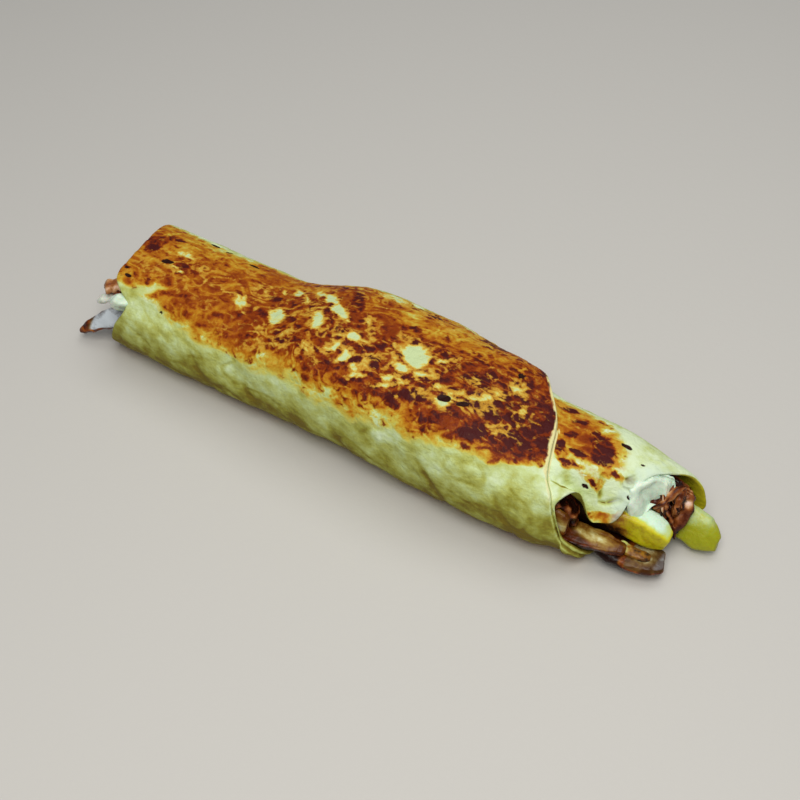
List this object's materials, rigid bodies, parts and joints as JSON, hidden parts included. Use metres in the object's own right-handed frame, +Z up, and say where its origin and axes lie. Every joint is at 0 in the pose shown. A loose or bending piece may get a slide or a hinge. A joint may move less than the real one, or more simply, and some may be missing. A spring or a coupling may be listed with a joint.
{
  "type": "shawarma wrap",
  "caption": "Griddled flatbread rolled round sliced meat, fries and garlic sauce, browned on top, lying on its flat side with both ends open on the filling.",
  "frame": {"origin": "on the surface that the wrap lies on, under the middle of its overall box", "axes": "+X along the roll towards its open end, +Y towards the side away from the camera, +Z up"},
  "size_m": [0.2564, 0.0634, 0.0432],
  "materials": {
    "bread": "griddled flatbread, pale at the sides and mottled brown on top",
    "meat": "moist roasted meat shreds",
    "slice": "moist cut meat with a browned edge",
    "fry": "soft yellow potato",
    "sauce": "wet white garlic sauce",
    "onion": "moist white onion"
  },
  "bodies": {
    "root": {"flatbread": "bread", "meat_filling": "meat", "fry_front": "fry", "fry_side": "fry", "fry_sliver": "fry", "meat_slice_lower": "slice", "meat_slice_middle": "slice", "meat_slice_upright": "slice", "meat_slice_far": "slice", "onion_strip_far": "onion", "garlic_sauce_near": "sauce", "garlic_sauce_far": "sauce"}
  },
  "joints": []
}
